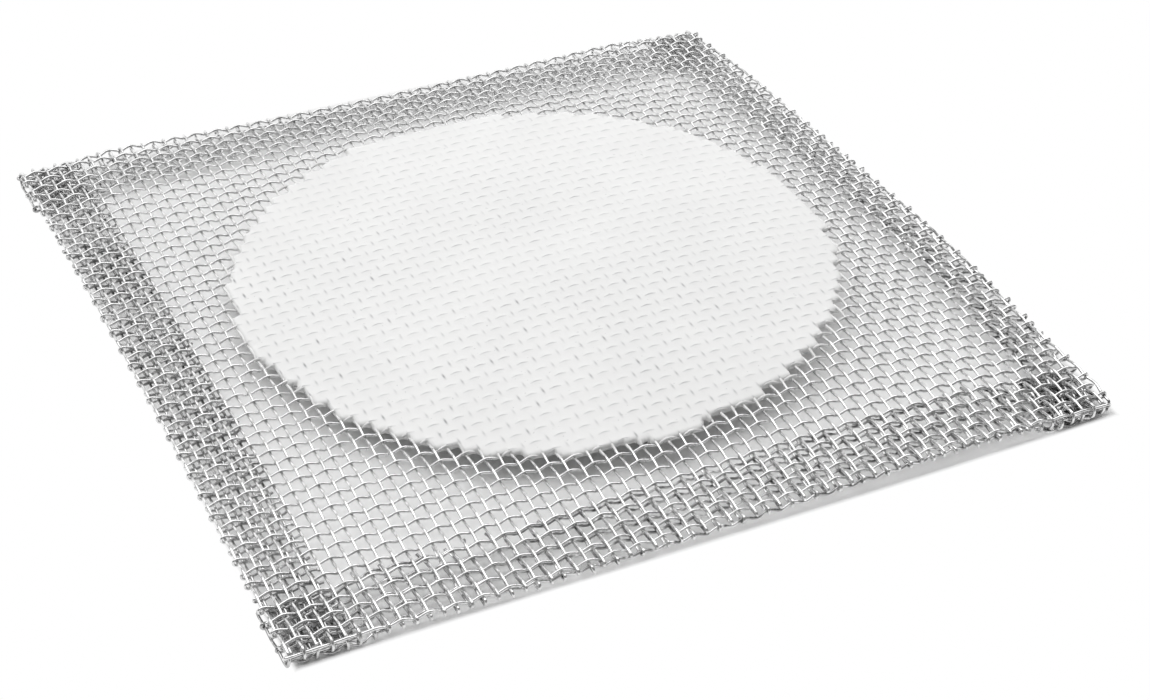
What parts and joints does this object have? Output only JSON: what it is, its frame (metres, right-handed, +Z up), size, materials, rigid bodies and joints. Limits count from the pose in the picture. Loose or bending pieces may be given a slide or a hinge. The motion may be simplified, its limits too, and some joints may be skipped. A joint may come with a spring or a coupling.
{
  "type": "wire gauze",
  "caption": "Square of woven wire cloth with hemmed edges and a thin round ceramic centre, for spreading heat under laboratory glassware.",
  "frame": {"origin": "middle of the square, on the table that the four folded corners stand on", "axes": "+X to the right and +Y to the back, both along the edges of the square; +Z up, away from the folded hems"},
  "size_m": [0.125, 0.125, 0.0031],
  "materials": {
    "steel_wire": "drawn bright steel wire",
    "ceramic": "matte white ceramic fibre"
  },
  "bodies": {
    "root": {"ceramic_centre": "ceramic", "field_warp_wires": "steel_wire", "left_edge_warp_wires": "steel_wire", "right_edge_warp_wires": "steel_wire", "left_hem_warp_wires": "steel_wire", "right_hem_warp_wires": "steel_wire", "field_weft_wires": "steel_wire", "front_hem_weft_wires": "steel_wire", "back_hem_weft_wires": "steel_wire"}
  },
  "joints": []
}
